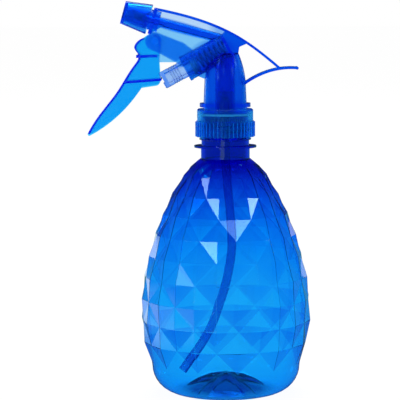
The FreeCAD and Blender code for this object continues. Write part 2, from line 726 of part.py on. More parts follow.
def trigger_side():
    """Side outline of the whole lever, with the round pivot lobe at its top."""
    front = [point(*p) for p in trigger_front()]
    back = [point(*p) for p in trigger_back()]
    tip = point(*lever_point(-34.8, -48.8))
    foot = [point(*lever_point(*p)) for p in ((0.7, -23.0), (2.4, -22.1), (2.9, -20.2))]
    rear = [point(*lever_point(*p)) for p in ((2.3, -9.7), (3.6, 0))]
    lobe = [point(*lever_point(*p)) for p in ((2.7, 2.6), (0.5, 3.6))]
    brow = point(*lever_point(-3.4, 3.5))
    edges = [smooth_curve(trigger_front()).toShape(),
             Part.Arc(front[-1], tip, back[0]).toShape(),
             smooth_curve(trigger_back()).toShape(),
             Part.makeLine(back[-1], foot[0]),
             Part.Arc(*foot).toShape(),
             Part.makeLine(foot[2], rear[0]),
             Part.makeLine(rear[0], rear[1]),
             Part.Arc(rear[1], lobe[0], lobe[1]).toShape(),
             Part.makeLine(lobe[1], brow),
             Part.makeLine(brow, front[0])]
    return Part.Face(Part.Wire(edges))


def trigger_plates():
    plates = []
    for low_y in (TRIGGER_INNER_Y, -TRIGGER_OUTER_Y):
        plate = trigger_side()
        plate.translate(Vector(0, low_y, 0))
        plates.append(plate.extrude(Vector(0, TRIGGER_PLATE, 0)))
    return plates


def trigger_front_wall():
    """Finger wall: the front edge and the same curve set back, joined by short ends."""
    front = smooth_curve(trigger_front()).toShape()
    back = front.copy()
    back.translate(Vector(TRIGGER_WALL * 0.95, 0, -TRIGGER_WALL * 0.42))
    ends = [Part.makeLine(front.Vertexes[i].Point, back.Vertexes[i].Point) for i in (0, 1)]
    face = Part.Face(Part.Wire(Part.__sortEdges__([front, back] + ends)))
    face.translate(Vector(0, -TRIGGER_OUTER_Y, 0))
    return face.extrude(Vector(0, 2 * TRIGGER_OUTER_Y, 0))


def cross_rib(front, rear):
    half = TRIGGER_RIB / 2
    return slab([(front[0], front[1] + half), (rear[0], rear[1] + half),
                 (rear[0], rear[1] - half), (front[0], front[1] - half)],
                -TRIGGER_OUTER_Y, TRIGGER_OUTER_Y)


def rib_slot(rear, low_y, high_y):
    """Room at the upper rib's rear end for a web or an ear to pass."""
    return Part.makeBox(RIB_SLOT_LENGTH + 1, high_y - low_y, 4 * TRIGGER_RIB,
                        Vector(rear[0] - RIB_SLOT_LENGTH, low_y, rear[1] - 2 * TRIGGER_RIB))


def trigger_ribs():
    """Two cross ribs; the lower one ends in the rounded nose that pushes the plunger."""
    rear = lever_point(1.5, -UPPER_RIB_DROP + 0.1)
    upper = cross_rib(lever_point(-9.5, -UPPER_RIB_DROP - 0.1), rear)
    web_half = WEB / 2 + RIB_SLOT_GAP
    ear_in = EAR_OUTER_Y - EAR_THICK - RIB_SLOT_GAP
    for low_y, high_y in ((-web_half, web_half), (ear_in, TRIGGER_INNER_Y),
                          (-TRIGGER_INNER_Y, -ear_in)):
        upper = upper.cut(rib_slot(rear, low_y, high_y))
    push = pump_point(PLUNGER_TIP_AT - CRADLE_DEPTH + PUSH_GAP + TRIGGER_RIB / 2, NOSE_RISE)
    lower = cross_rib(lever_point(-15.9, -LOWER_RIB_DROP), push)
    nose = Part.makeCylinder(TRIGGER_RIB / 2, 2 * TRIGGER_OUTER_Y,
                             point(*push, -TRIGGER_OUTER_Y), Vector(0, 1, 0))
    return [upper, lower, nose]


def pivot_stubs():
    """Stubs that snap into the ears from outside."""
    stubs = []
    reach = TRIGGER_OUTER_Y - (EAR_OUTER_Y - EAR_THICK) - 0.2
    for low_y in (TRIGGER_OUTER_Y - reach, -TRIGGER_OUTER_Y):
        stubs.append(Part.makeCylinder(PIVOT_R, reach, point(PIVOT_X, PIVOT_Z, low_y),
                                       Vector(0, 1, 0)))
    return stubs


def make_trigger():
    return fuse_all(trigger_plates() + [trigger_front_wall()] + trigger_ribs() + pivot_stubs())


# ---- pump pieces ----

def make_plunger():
    """Hollow rod with ring grooves, a core for the seal and a slot for the trigger's nose."""
    seal_at = PISTON_AT + SEAL_LIP
    seal_end = seal_at + SEAL_LENGTH
    outline = [(PLUNGER_BORE_R, PISTON_AT), (SEAL_CORE_R + SEAL_LIP, PISTON_AT),
               (SEAL_CORE_R + SEAL_LIP, seal_at), (SEAL_CORE_R, seal_at),
               (SEAL_CORE_R, seal_end), (PLUNGER_R, seal_end)]
    floor_r = PLUNGER_R - RING_GROOVE_DEPTH
    for i in range(RING_GROOVES):
        low = MOUTH_AT + RING_GROOVE_AT + RING_GROOVE_PITCH * i
        high = low + RING_GROOVE_WIDTH
        side = RING_GROOVE_WIDTH / 4
        outline += [(PLUNGER_R, low), (floor_r, low + side), (floor_r, high - side),
                    (PLUNGER_R, high)]
    end_wall = PLUNGER_TIP_AT - PLUNGER_END_WALL
    outline += [(PLUNGER_R, PLUNGER_TIP_AT - 0.4), (PLUNGER_R - 0.4, PLUNGER_TIP_AT),
                (0, PLUNGER_TIP_AT), (0, end_wall), (PLUNGER_BORE_R, end_wall)]
    cradle = Part.makeBox(CRADLE_HIGH - CRADLE_LOW, 2 * PLUNGER_R + 1, CRADLE_DEPTH + 1,
                          Vector(CRADLE_LOW, -PLUNGER_R - 0.5, PLUNGER_TIP_AT - CRADLE_DEPTH))
    corners = [e for e in cradle.Edges
               if abs(e.CenterOfMass.z - PLUNGER_TIP_AT + CRADLE_DEPTH) < 0.01
               and abs(e.tangentAt(e.FirstParameter).y) > 0.9]
    return along_pump(ring_solid(outline).cut(cradle.makeFillet(CRADLE_CORNER, corners)))


def make_piston_seal():
    """Soft sleeve with a lip at each end that wipes the chamber."""
    low = PISTON_AT + SEAL_LIP
    high = low + SEAL_LENGTH
    lip = CHAMBER_R - RUNNING_FIT
    waist = CHAMBER_R - 0.7
    inner = SEAL_CORE_R + PLUG_FIT
    return along_pump(ring_solid([
        (inner, low), (lip, low), (lip, low + 0.6), (waist, low + 1.1), (waist, high - 1.1),
        (lip, high - 0.6), (lip, high), (inner, high)]))


def make_return_spring():
    return along_pump(coil(SPRING_R, SPRING_WIRE_R, SPRING_PITCH, CHAMBER_END_AT, PISTON_AT))


# ---- inlet valve and dip tube ----

def seat_z():
    ball_rise = math.sqrt(BALL_R ** 2 - SEAT_HOLE_R ** 2)
    return SOCKET_TOP_Z - BALL_LIFT - BALL_R - ball_rise


def make_inlet_ball():
    ball_rise = math.sqrt(BALL_R ** 2 - SEAT_HOLE_R ** 2)
    return Part.makeSphere(BALL_R, point(0, seat_z() + ball_rise + 0.02))


def make_tube_retainer():
    """Plug with the ball's seat and cage above the dip tube's socket, and a vented disc."""
    outer = SOCKET_R - PLUG_FIT
    tube_hole = DIP_TUBE_R + PLUG_FIT
    tube_stop = seat_z() - 1.0
    body = ring_solid([
        (tube_hole, RIM_Z - 3.0), (tube_hole + 1.1, RIM_Z - 3.0), (tube_hole + 1.1, RIM_Z),
        (RETAINER_DISC_R, RIM_Z + 0.1), (RETAINER_DISC_R, GASKET_TOP_Z), (outer, GASKET_TOP_Z),
        (outer, SOCKET_TOP_Z - 0.6), (outer - 0.5, SOCKET_TOP_Z - 0.05),
        (BALL_CAGE_R, SOCKET_TOP_Z - 0.05),
        (BALL_CAGE_R, seat_z()), (SEAT_HOLE_R, seat_z()), (SEAT_HOLE_R, tube_stop),
        (tube_hole, tube_stop)])
    for i in range(4):
        vent = Part.makeCylinder(0.9, GASKET_THICK + 2, point(7.6, RIM_Z - 1))
        vent.rotate(Vector(0, 0, 0), UP, 45 + 90 * i)
        body = body.cut(vent)
    return body


def tube_path():
    """Straight runs of the dip tube joined by tangent arcs, in the middle plane."""
    corners = [(0, seat_z() - 1.0), (0, BAND_TOP_Z + 3.5), (4.6, WAIST_Z - 1.0),
               (-8.0, BAND_BOTTOM_Z + 15.8), (-STAND_R + 2.0, PUSH_UP + 4.4)]
    bends = [240.0, 90.0, 70.0]
    spots = [point(*c) for c in corners]
    edges = []
    start = spots[0]
    for before, corner, after, radius in zip(spots, spots[1:], spots[2:], bends):
        into = (corner - before).normalize()
        out = (after - corner).normalize()
        turn = into.getAngle(out)
        cut = radius * math.tan(turn / 2)
        first = corner - into * cut
        last = corner + out * cut
        inward = (out - into).normalize()
        middle = corner + inward * (radius / math.cos(turn / 2) - radius)
        edges.append(Part.makeLine(start, first))
        edges.append(Part.Arc(first, middle, last).toShape())
        start = last
    edges.append(Part.makeLine(start, spots[-1]))
    return Part.Wire(edges)


def make_dip_tube():
    path = tube_path()
    top = path.Edges[0].Vertexes[0].Point
    rims = [Part.Wire(Part.makeCircle(r, top, UP)) for r in (DIP_TUBE_R, DIP_TUBE_BORE_R)]
    outside, inside = [path.makePipeShell([rim], True, True) for rim in rims]
    return outside.cut(inside)


# ---- nozzle and outlet valve ----

def square_loft(rear_half, front_half, corner, low, high):
    """Tapered block with a square section and rounded corners."""
    wires = []
    for half, height in ((rear_half, low), (front_half, high)):
        r = corner
        k = r * (1 - math.sqrt(0.5))
        edges = []
        for quarter in range(4):
            side = [Vector(half, -half + r, height), Vector(half, half - r, height),
                    Vector(half - k, half - k, height), Vector(half - r, half, height)]
            turn = Rotation(UP, 90 * quarter)
            a, b, c, d = [turn.multVec(p) for p in side]
            edges.append(Part.makeLine(a, b))
            edges.append(Part.Arc(b, c, d).toShape())
        wires.append(Part.Wire(edges))
    return Part.makeLoft(wires, True, True)


def nozzle_grip():
    """Low ribs along the rear half of each side, tapering out toward the front."""
    slope = (NOZZLE_REAR_HALF - NOZZLE_FRONT_HALF) / NOZZLE_LENGTH
    rear = NOZZLE_REAR_HALF
    front = rear - slope * NOZZLE_RIB_REACH
    end_at = NOZZLE_AT + NOZZLE_RIB_REACH
    root = 0.3
    side = [Vector(rear - root, 0, NOZZLE_AT), Vector(rear + NOZZLE_RIB_RISE, 0, NOZZLE_AT),
            Vector(front, 0, end_at), Vector(front - root, 0, end_at)]
    rib = Part.Face(Part.makePolygon(side + side[:1])).extrude(Vector(0, NOZZLE_RIB_WIDTH, 0))
    ribs = []
    for i in range(NOZZLE_RIBS):
        across = (i - (NOZZLE_RIBS - 1) / 2) * NOZZLE_RIB_PITCH - NOZZLE_RIB_WIDTH / 2
        for quarter in (1, 3):
            copy = rib.copy()
            copy.translate(Vector(0, across, 0))
            copy.rotate(Vector(0, 0, 0), UP, 90 * quarter)
            ribs.append(copy)
    return ribs


def make_nozzle():
    shell = square_loft(NOZZLE_REAR_HALF, NOZZLE_FRONT_HALF, NOZZLE_CORNER,
                        NOZZLE_AT, NOZZLE_FRONT_AT)
    hollow = square_loft(NOZZLE_REAR_HALF - NOZZLE_SHELL, NOZZLE_FRONT_HALF - NOZZLE_SHELL,
                         NOZZLE_CORNER - NOZZLE_SHELL, NOZZLE_AT - 0.01,
                         NOZZLE_FRONT_AT - NOZZLE_FACE)
    bore_r = SPIGOT_R + RUNNING_FIT
    sleeve = disc(bore_r + NOZZLE_SLEEVE, NOZZLE_AT + 0.4, NOZZLE_FRONT_AT - 1.0)
    bore = disc(bore_r, NOZZLE_AT - 1, NOZZLE_FRONT_AT - NOZZLE_FACE)
    dish = Part.makeCone(NOZZLE_DISH_R - 0.8, NOZZLE_DISH_R, NOZZLE_DISH_DEPTH + 0.01,
                         point(0, NOZZLE_FRONT_AT - NOZZLE_DISH_DEPTH))
    orifice = disc(ORIFICE_R, NOZZLE_FRONT_AT - NOZZLE_FACE - 1, NOZZLE_FRONT_AT + 1)
    body = shell.cut(hollow).fuse(sleeve)
    for cutter in (bore, dish, orifice):
        body = body.cut(cutter)
    return along_spray(body.multiFuse(nozzle_grip()))


def make_swirl_plug():
    """Plug in the end of the spigot: three side channels feed a small swirl chamber."""
    low = SPIGOT_TIP_AT - SWIRL_PLUG_LENGTH
    plug = disc(VALVE_BORE_R - PLUG_FIT, low, SPIGOT_TIP_AT)
    chamber = disc(1.0, SPIGOT_TIP_AT - 0.5, SPIGOT_TIP_AT + 1)
    plug = plug.cut(chamber)
    for i in range(3):
        side = Part.makeBox(1.2, 0.9, SWIRL_PLUG_LENGTH + 1,
                            Vector(VALVE_BORE_R - 0.8, -0.45, low - 0.5))
        feed = Part.makeBox(VALVE_BORE_R, 0.6, 1.0, Vector(0, 0.4, SPIGOT_TIP_AT - 0.5))
        for cutter in (side, feed):
            cutter.rotate(Vector(0, 0, 0), UP, 120 * i)
            plug = plug.cut(cutter)
    return along_spray(plug)


def make_outlet_poppet():
    """Disc with a guide cone that shuts the discharge tube, and a stem for its spring."""
    base = VALVE_SEAT_AT + 0.02
    return along_spray(ring_solid([
        (0, base - 1.0), (0.6, base - 1.0), (TUBE_BORE_R - 0.15, base), (POPPET_R, base),
        (POPPET_R, base + POPPET_THICK), (POPPET_STEM_R, base + POPPET_THICK),
        (POPPET_STEM_R, base + POPPET_THICK + POPPET_STEM),
        (0, base + POPPET_THICK + POPPET_STEM)]))


def make_outlet_spring():
    low = VALVE_SEAT_AT + 0.02 + POPPET_THICK
    high = SPIGOT_TIP_AT - SWIRL_PLUG_LENGTH
    return along_spray(coil(OUTLET_SPRING_R, OUTLET_WIRE_R, OUTLET_SPRING_PITCH, low, high))


def main():
    os.makedirs("parts", exist_ok=True)
    pieces = {
        "bottle": make_bottle,
        "neck_gasket": make_gasket,
        "screw_cap": make_screw_cap,
        "sprayer_body": make_sprayer_body,
        "trigger": make_trigger,
        "plunger": make_plunger,
        "piston_seal": make_piston_seal,
        "return_spring": make_return_spring,
        "tube_retainer": make_tube_retainer,
        "inlet_ball": make_inlet_ball,
        "dip_tube": make_dip_tube,
        "nozzle": make_nozzle,
        "swirl_plug": make_swirl_plug,
        "outlet_poppet": make_outlet_poppet,
        "outlet_spring": make_outlet_spring,
    }
    for name, make in pieces.items():
        shape = make()
        solids = len(shape.Solids)
        print(f"{name}: {solids} solid, valid {shape.isValid()}, {shape.Volume:.1f} mm3")
        shape.exportStep(f"parts/{name}.step")


main()
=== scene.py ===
# %% [markdown]
# # A trigger spray bottle in tinted, see-through plastic
# The CAD model gives every piece its true size and place. This file dresses it: it tints the
# plastics, rounds the moulded edges, blows a proper bottle wall and winds the springs.
# Every length below is in metres, in the same frame as the CAD model.

# %% Load the frame
import json
import math
import random

import bmesh
import bpy
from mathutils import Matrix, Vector
from mathutils.bvhtree import BVHTree


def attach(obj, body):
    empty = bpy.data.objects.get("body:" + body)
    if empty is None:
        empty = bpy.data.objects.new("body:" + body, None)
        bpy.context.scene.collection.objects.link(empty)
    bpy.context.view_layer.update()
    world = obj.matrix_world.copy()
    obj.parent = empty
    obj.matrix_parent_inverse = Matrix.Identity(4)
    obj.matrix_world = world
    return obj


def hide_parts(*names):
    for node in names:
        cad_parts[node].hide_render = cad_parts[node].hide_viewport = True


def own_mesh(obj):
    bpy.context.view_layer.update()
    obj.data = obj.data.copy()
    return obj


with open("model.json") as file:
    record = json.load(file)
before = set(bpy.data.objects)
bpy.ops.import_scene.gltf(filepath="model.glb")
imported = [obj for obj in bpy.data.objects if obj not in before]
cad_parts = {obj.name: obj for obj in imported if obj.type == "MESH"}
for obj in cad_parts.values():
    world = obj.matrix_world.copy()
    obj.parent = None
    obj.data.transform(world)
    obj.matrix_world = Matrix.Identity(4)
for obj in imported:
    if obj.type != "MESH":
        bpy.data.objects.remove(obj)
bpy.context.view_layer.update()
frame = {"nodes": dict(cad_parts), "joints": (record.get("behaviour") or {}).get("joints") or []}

MM = 0.001
nodes = frame["nodes"]
joints = {joint["name"]: joint for joint in frame["joints"]}

# %% [markdown]
# ## The studio
# A clear object is seen mostly by what lies behind it, so the room matters more than the lamps.
# The floor and the room are white to the eye and to rays that come through the plastic. As a
# source of light they are only pale grey, so nothing is overexposed. A shiny skin mirrors a
# calmer room: a bright band at eye height, a dim ceiling, dark boards to the right and behind,
# and a floor that is bright far off but carries a painted shadow of the bottle close by, with a
# painted glow where a white card would lie on the left. With a plain white room all round,
# every diamond of the bottle would be veiled by the same reflection and none would stand out.

# %% Which kind of ray is asking
def ray_kinds(tree):
    """Two masks: rays that look at or through the object, and rays that it mirrors."""
    path = tree.nodes.new("ShaderNodeLightPath")
    look = tree.nodes.new("ShaderNodeMath")
    look.operation = "MAXIMUM"
    tree.links.new(path.outputs["Is Camera Ray"], look.inputs[0])
    tree.links.new(path.outputs["Is Transmission Ray"], look.inputs[1])
    return look.outputs[0], path.outputs["Is Glossy Ray"]


def choose(tree, mask, without, with_mask):
    mix = tree.nodes.new("ShaderNodeMixShader")
    tree.links.new(mask, mix.inputs[0])
    tree.links.new(without, mix.inputs[1])
    tree.links.new(with_mask, mix.inputs[2])
    return mix.outputs[0]


# %% The room
ROOM_LIGHT = 0.42                   # how much the room lights things
BAND_GLOW = (0.04, 0.26, 0.32)      # what a diamond that faces straight out mirrors
CEILING_GLOW = (0.02, 0.03, 0.04)
BOARD_GLOW = (0.02, 0.04, 0.08)
world = bpy.data.worlds.new("pale_room")
bpy.context.scene.world = world
world.use_nodes = True
room = world.node_tree
room.nodes.clear()
room_out = room.nodes.new("ShaderNodeOutputWorld")
room_seen = room.nodes.new("ShaderNodeBackground")
room_lit = room.nodes.new("ShaderNodeBackground")
room_lit.inputs["Strength"].default_value = ROOM_LIGHT
room_mirrored = room.nodes.new("ShaderNodeBackground")
toward = room.nodes.new("ShaderNodeTexCoord")
height = room.nodes.new("ShaderNodeSeparateXYZ")
band = room.nodes.new("ShaderNodeValToRGB")
band.color_ramp.elements[0].position = 0.18
band.color_ramp.elements[0].color = (*BAND_GLOW, 1)
band.color_ramp.elements[1].position = 0.42
band.color_ramp.elements[1].color = (*CEILING_GLOW, 1)
room.links.new(toward.outputs["Generated"], height.inputs[0])
room.links.new(height.outputs["Z"], band.inputs[0])


def board(axis, start, full, before):
    """Let a dark board stand where the direction's axis goes from start to full."""
    where = room.nodes.new("ShaderNodeMapRange")
    where.inputs["From Min"].default_value = start
    where.inputs["From Max"].default_value = full
    room.links.new(height.outputs[axis], where.inputs["Value"])
    mix = room.nodes.new("ShaderNodeMix")
    mix.data_type = "RGBA"
    mix.inputs["B"].default_value = (*BOARD_GLOW, 1)
    room.links.new(where.outputs["Result"], mix.inputs["Factor"])
    room.links.new(before, mix.inputs["A"])
    return mix.outputs["Result"]


boards = board("Y", 0.55, 0.85, board("X", 0.70, 0.90, band.outputs["Color"]))
room.links.new(boards, room_mirrored.inputs["Color"])
for plain in (room_seen, room_lit):
    plain.inputs["Color"].default_value = (1, 1, 1, 1)
look, mirror = ray_kinds(room)
inner = choose(room, mirror, room_lit.outputs[0], room_mirrored.outputs[0])
room.links.new(choose(room, look, inner, room_seen.outputs[0]), room_out.inputs["Surface"])

# %% The floor
FLOOR_SIZE = 40.0
FLOOR_GLOW = 0.95                   # white as far as the eye goes; the rest is light and shadow
DIM_NEAR, BRIGHT_FAR = 0.09, 0.30   # metres from the bottle over which the mirrored floor's painted shadow gives way
PAINTED_SHADOW_GLOW = (0.02, 0.04, 0.05)       # painted shadow of the bottle on the floor close by, seen only in reflections
CARD_GLOW = (0.9, 1.1, 1.1)         # a painted glow where a white card would lie on the left, seen only in reflections
CARD_REACH = 1.0                    # metres to the left that the card's steps are shares of
CARD_STEPS = ((0.0, 0), (0.25, 0), (0.45, 1), (0.85, 1), (0.89, 0), (1.0, 0))
bpy.ops.mesh.primitive_plane_add(size=FLOOR_SIZE, location=(0, 0, 0))
floor = bpy.context.object
floor.name = "floor"
paper = bpy.data.materials.new("white_paper")
paper.use_nodes = True
tree = paper.node_tree
tree.nodes.clear()
out = tree.nodes.new("ShaderNodeOutputMaterial")


def paper_shade(reflect, glow=None):
    """Paper that reflects a share of the light and adds a glow of its own."""
    skin = tree.nodes.new("ShaderNodeBsdfDiffuse")
    skin.inputs["Color"].default_value = (reflect, reflect, reflect, 1)
    if glow is None:
        return skin.outputs[0]
    shine = tree.nodes.new("ShaderNodeEmission")
    if isinstance(glow, float):
        shine.inputs["Strength"].default_value = glow
    else:
        tree.links.new(glow, shine.inputs["Color"])
    both = tree.nodes.new("ShaderNodeAddShader")
    tree.links.new(skin.outputs[0], both.inputs[0])
    tree.links.new(shine.outputs[0], both.inputs[1])
    return both.outputs[0]


def far_glow():
    """Painted shadow near the bottle that rises to the room's band far off, with the painted card
    glow.
    """
    spot = tree.nodes.new("ShaderNodeTexCoord")
    away = tree.nodes.new("ShaderNodeVectorMath")
    away.operation = "LENGTH"
    tree.links.new(spot.outputs["Object"], away.inputs[0])
    rise = tree.nodes.new("ShaderNodeMapRange")
    rise.inputs["From Min"].default_value = DIM_NEAR
    rise.inputs["From Max"].default_value = BRIGHT_FAR
    tree.links.new(away.outputs["Value"], rise.inputs["Value"])
    fade = tree.nodes.new("ShaderNodeMix")
    fade.data_type = "RGBA"
    fade.inputs["A"].default_value = (*PAINTED_SHADOW_GLOW, 1)
    fade.inputs["B"].default_value = (*BAND_GLOW, 1)
    tree.links.new(rise.outputs["Result"], fade.inputs["Factor"])
    apart = tree.nodes.new("ShaderNodeSeparateXYZ")
    tree.links.new(spot.outputs["Object"], apart.inputs[0])
    card = tree.nodes.new("ShaderNodeValToRGB")
    while len(card.color_ramp.elements) < len(CARD_STEPS):
        card.color_ramp.elements.new(0.5)
    for element, (place, shade) in zip(card.color_ramp.elements, CARD_STEPS):
        element.position = place
        element.color = (shade, shade, shade, 1)
    across = tree.nodes.new("ShaderNodeMapRange")
    across.inputs["From Min"].default_value = -CARD_REACH
    across.inputs["From Max"].default_value = 0.0
    tree.links.new(apart.outputs["X"], across.inputs["Value"])
    tree.links.new(across.outputs["Result"], card.inputs["Fac"])
    with_card = tree.nodes.new("ShaderNodeMix")
    with_card.data_type = "RGBA"
    with_card.inputs["B"].default_value = (*CARD_GLOW, 1)
    tree.links.new(card.outputs["Color"], with_card.inputs["Factor"])
    tree.links.new(fade.outputs["Result"], with_card.inputs["A"])
    return with_card.outputs["Result"]


look, mirror = ray_kinds(tree)
# mirrored rays see the floor's painted shadow near the bottle and its painted card glow
inner = choose(tree, mirror, paper_shade(0.8), paper_shade(0.03, far_glow()))
surface = choose(tree, look, inner, paper_shade(0.10, FLOOR_GLOW))
tree.links.new(surface, out.inputs["Surface"])
floor.data.materials.append(paper)

# %% [markdown]
# ## Camera and lamps
# A long lens from almost level keeps the bottle's sides upright. The lamps are soft boxes at
# the height of a window, some on each side: a diamond that leans toward one catches it whole,
# because its faces are flat, and the diamond next to it stays dark.

# %% Camera
camera_data = bpy.data.cameras.new("camera")
camera_data.sensor_width = 36.0
camera_data.lens = 162.3
camera = bpy.data.objects.new("camera", camera_data)
camera.location = (-0.013, -0.950, 0.203)
camera.rotation_euler = (math.radians(83.95), math.radians(0.25), 0)
bpy.context.collection.objects.link(camera)
bpy.context.scene.camera = camera

# %% Lamps
LOOK_AT = Vector((0, 0, 0.09))
LAMP_AWAY = 2.6


def soft_box(name, turn, rise, wide, high, radiance):
    """A rectangular lamp: turn and rise say where it stands, wide and high how big it looks."""
    data = bpy.data.lights.new(name, "AREA")
    data.shape = "RECTANGLE"
    data.size = 2 * LAMP_AWAY * math.tan(math.radians(wide / 2))
    data.size_y = 2 * LAMP_AWAY * math.tan(math.radians(high / 2))
    data.energy = radiance * math.pi * data.size * data.size_y
    lamp = bpy.data.objects.new(name, data)
    turn, rise = math.radians(turn), math.radians(rise)
    away = Vector((math.sin(turn) * math.cos(rise), -math.cos(turn) * math.cos(rise),
                   math.sin(rise)))
    lamp.location = LOOK_AT + away * LAMP_AWAY
    lamp.rotation_euler = away.to_track_quat("Z", "Y").to_euler()
    bpy.context.collection.objects.link(lamp)
    return lamp


soft_box("lamp_left_low", -41.3, 14.3, 6, 6, 7.0)
soft_box("lamp_left_mid", -51.9, 21.5, 6, 6, 2.5)
soft_box("lamp_left_high", -48.2, 33.8, 5, 5, 9.0)
soft_box("lamp_left_side", -87.3, 32.0, 5, 5, 6.0)
soft_box("lamp_left_rear", -141, 4, 9, 10, 2.0)
soft_box("lamp_front", -9.9, 24.7, 5, 6, 3.0)
soft_box("lamp_right", 45.9, 22.3, 6, 6, 6.0)
soft_box("lamp_right_side", 80.2, 27.4, 5, 5, 10.0)
soft_box("lamp_right_rear", 146, 4, 8, 8, 1.0)
soft_box("lamp_top", 180, 74, 30, 26, 6.0)
scene = bpy.context.scene
scene.view_settings.view_transform = "Standard"
scene.cycles.max_bounces = 24
scene.cycles.transmission_bounces = 20
scene.cycles.transparent_max_bounces = 32
scene.cycles.glossy_bounces = 6

# %% [markdown]
# ## Tinted plastic
# Dye in a plastic takes away a share of each colour for every millimetre that light travels
# in it. One thin web looks pale, two walls look azure, and a plate seen edge-on is navy, all
# from one dye. So the colour goes into a volume that absorbs, and the surface stays clear.

# %% A clear, dyed plastic
def tinted_plastic(name, loss_per_mm, roughness, ior, grain=220.0, relief=0.00002,
                   haze=(0.9, 0.95, 1.0), sheen_of_skin=(0.50, 0.85, 0.95), deeper=(),
                   darker_spots=(), layer=None):
    """Clear plastic whose dye takes loss_per_mm of red, green and blue.

    deeper lists (height, colour) steps where the plastic lets less through than lower down.
    darker_spots lists (centre, tilt, radii, colour): rounded regions made darker where the wall is
    thicker; at the bottle's base this is also painted shade.
    layer is (name, colour): each face's own number of that name mixes this colour in.
    """
    material = bpy.data.materials.new(name)
    material.use_nodes = True
    tree = material.node_tree
    tree.nodes.clear()
    new, link = tree.nodes.new, tree.links.new
    out = new("ShaderNodeOutputMaterial")
    body = new("ShaderNodeBsdfPrincipled")
    body.inputs["Transmission Weight"].default_value = 1.0
    body.inputs["IOR"].default_value = ior
    body.inputs["Specular Tint"].default_value = (*sheen_of_skin, 1)
    spot = new("ShaderNodeTexCoord")
    mottle = new("ShaderNodeTexNoise")
    mottle.inputs["Scale"].default_value = grain * 0.25
    mottle.inputs["Detail"].default_value = 3.0
    link(spot.outputs["Object"], mottle.inputs["Vector"])
    shade = new("ShaderNodeMix")
    shade.data_type = "RGBA"
    shade.inputs["A"].default_value = (*haze, 1)
    shade.inputs["B"].default_value = (*(0.96 * c for c in haze), 1)
    link(mottle.outputs["Fac"], shade.inputs["Factor"])
    tone = shade.outputs["Result"]

    def multiply(colour, by, share=None):
        blend = new("ShaderNodeMix")
        blend.data_type = "RGBA"
        blend.blend_type = "MULTIPLY"
        blend.inputs["Factor"].default_value = 1.0
        link(colour, blend.inputs["A"])
        if isinstance(by, tuple):
            blend.inputs["B"].default_value = (*by, 1)
        else:
            link(by, blend.inputs["B"])
        if share:
            link(share, blend.inputs["Factor"])
        return blend.outputs["Result"]

    for centre, tilt, radii, colour in darker_spots:
        inside = new("ShaderNodeVectorMath")
        inside.operation = "SUBTRACT"
        inside.inputs[1].default_value = centre
        link(spot.outputs["Object"], inside.inputs[0])
        level = new("ShaderNodeVectorRotate")
        level.rotation_type = "Y_AXIS"
        level.inputs["Angle"].default_value = math.radians(tilt)
        link(inside.outputs["Vector"], level.inputs["Vector"])
        flat = new("ShaderNodeVectorMath")
        flat.operation = "DIVIDE"
        flat.inputs[1].default_value = radii
        link(level.outputs["Vector"], flat.inputs[0])
        away = new("ShaderNodeVectorMath")
        away.operation = "LENGTH"
        link(flat.outputs["Vector"], away.inputs[0])
        share = new("ShaderNodeMapRange")
        share.inputs["From Min"].default_value = 1.1
        share.inputs["From Max"].default_value = 0.75
        link(away.outputs["Value"], share.inputs["Value"])
        tone = multiply(tone, colour, share.outputs["Result"])
    if layer:
        own = new("ShaderNodeAttribute")
        own.attribute_name = layer[0]
        tone = multiply(tone, layer[1], own.outputs["Fac"])
    if deeper:
        apart = new("ShaderNodeSeparateXYZ")
        link(spot.outputs["Object"], apart.inputs[0])
        reach = new("ShaderNodeMapRange")
        reach.inputs["From Min"].default_value = deeper[0][0]
        reach.inputs["From Max"].default_value = deeper[-1][0]
        link(apart.outputs["Z"], reach.inputs["Value"])
        steps = new("ShaderNodeValToRGB")
        steps.color_ramp.interpolation = "B_SPLINE"
        span = deeper[-1][0] - deeper[0][0]
        while len(steps.color_ramp.elements) < len(deeper):
            steps.color_ramp.elements.new(0.5)
        for element, (height, colour) in zip(steps.color_ramp.elements, deeper):
            element.position = (height - deeper[0][0]) / span
            element.color = (*colour, 1)
        link(reach.outputs["Result"], steps.inputs["Fac"])
        tone = multiply(tone, steps.outputs["Color"])
    link(tone, body.inputs["Base Color"])
    spread = new("ShaderNodeMapRange")
    spread.inputs["To Min"].default_value = roughness * 0.8
    spread.inputs["To Max"].default_value = roughness * 1.2
    link(mottle.outputs["Fac"], spread.inputs["Value"])
    link(spread.outputs["Result"], body.inputs["Roughness"])
    skin = new("ShaderNodeTexNoise")
    skin.inputs["Scale"].default_value = grain
    skin.inputs["Detail"].default_value = 2.0
    link(spot.outputs["Object"], skin.inputs["Vector"])
    bump = new("ShaderNodeBump")
    bump.inputs["Strength"].default_value = 0.5
    bump.inputs["Distance"].default_value = relief
    link(skin.outputs["Fac"], bump.inputs["Height"])
    link(bump.outputs["Normal"], body.inputs["Normal"])
    # lamps reach what lies inside: to a shadow ray the skin is simply open
    path = new("ShaderNodeLightPath")
    open_skin = new("ShaderNodeBsdfTransparent")
    open_skin.inputs["Color"].default_value = (0.92, 0.95, 1.0, 1)
    choose = new("ShaderNodeMixShader")
    link(path.outputs["Is Shadow Ray"], choose.inputs[0])
    link(body.outputs["BSDF"], choose.inputs[1])
    link(open_skin.outputs["BSDF"], choose.inputs[2])
    link(choose.outputs["Shader"], out.inputs["Surface"])
    tinge = new("ShaderNodeVolumeAbsorption")
    most = max(loss_per_mm)
    tinge.inputs["Color"].default_value = (*(1 - c / most for c in loss_per_mm), 1)
    tinge.inputs["Density"].default_value = most / MM
    link(tinge.outputs["Volume"], out.inputs["Volume"])
    return material


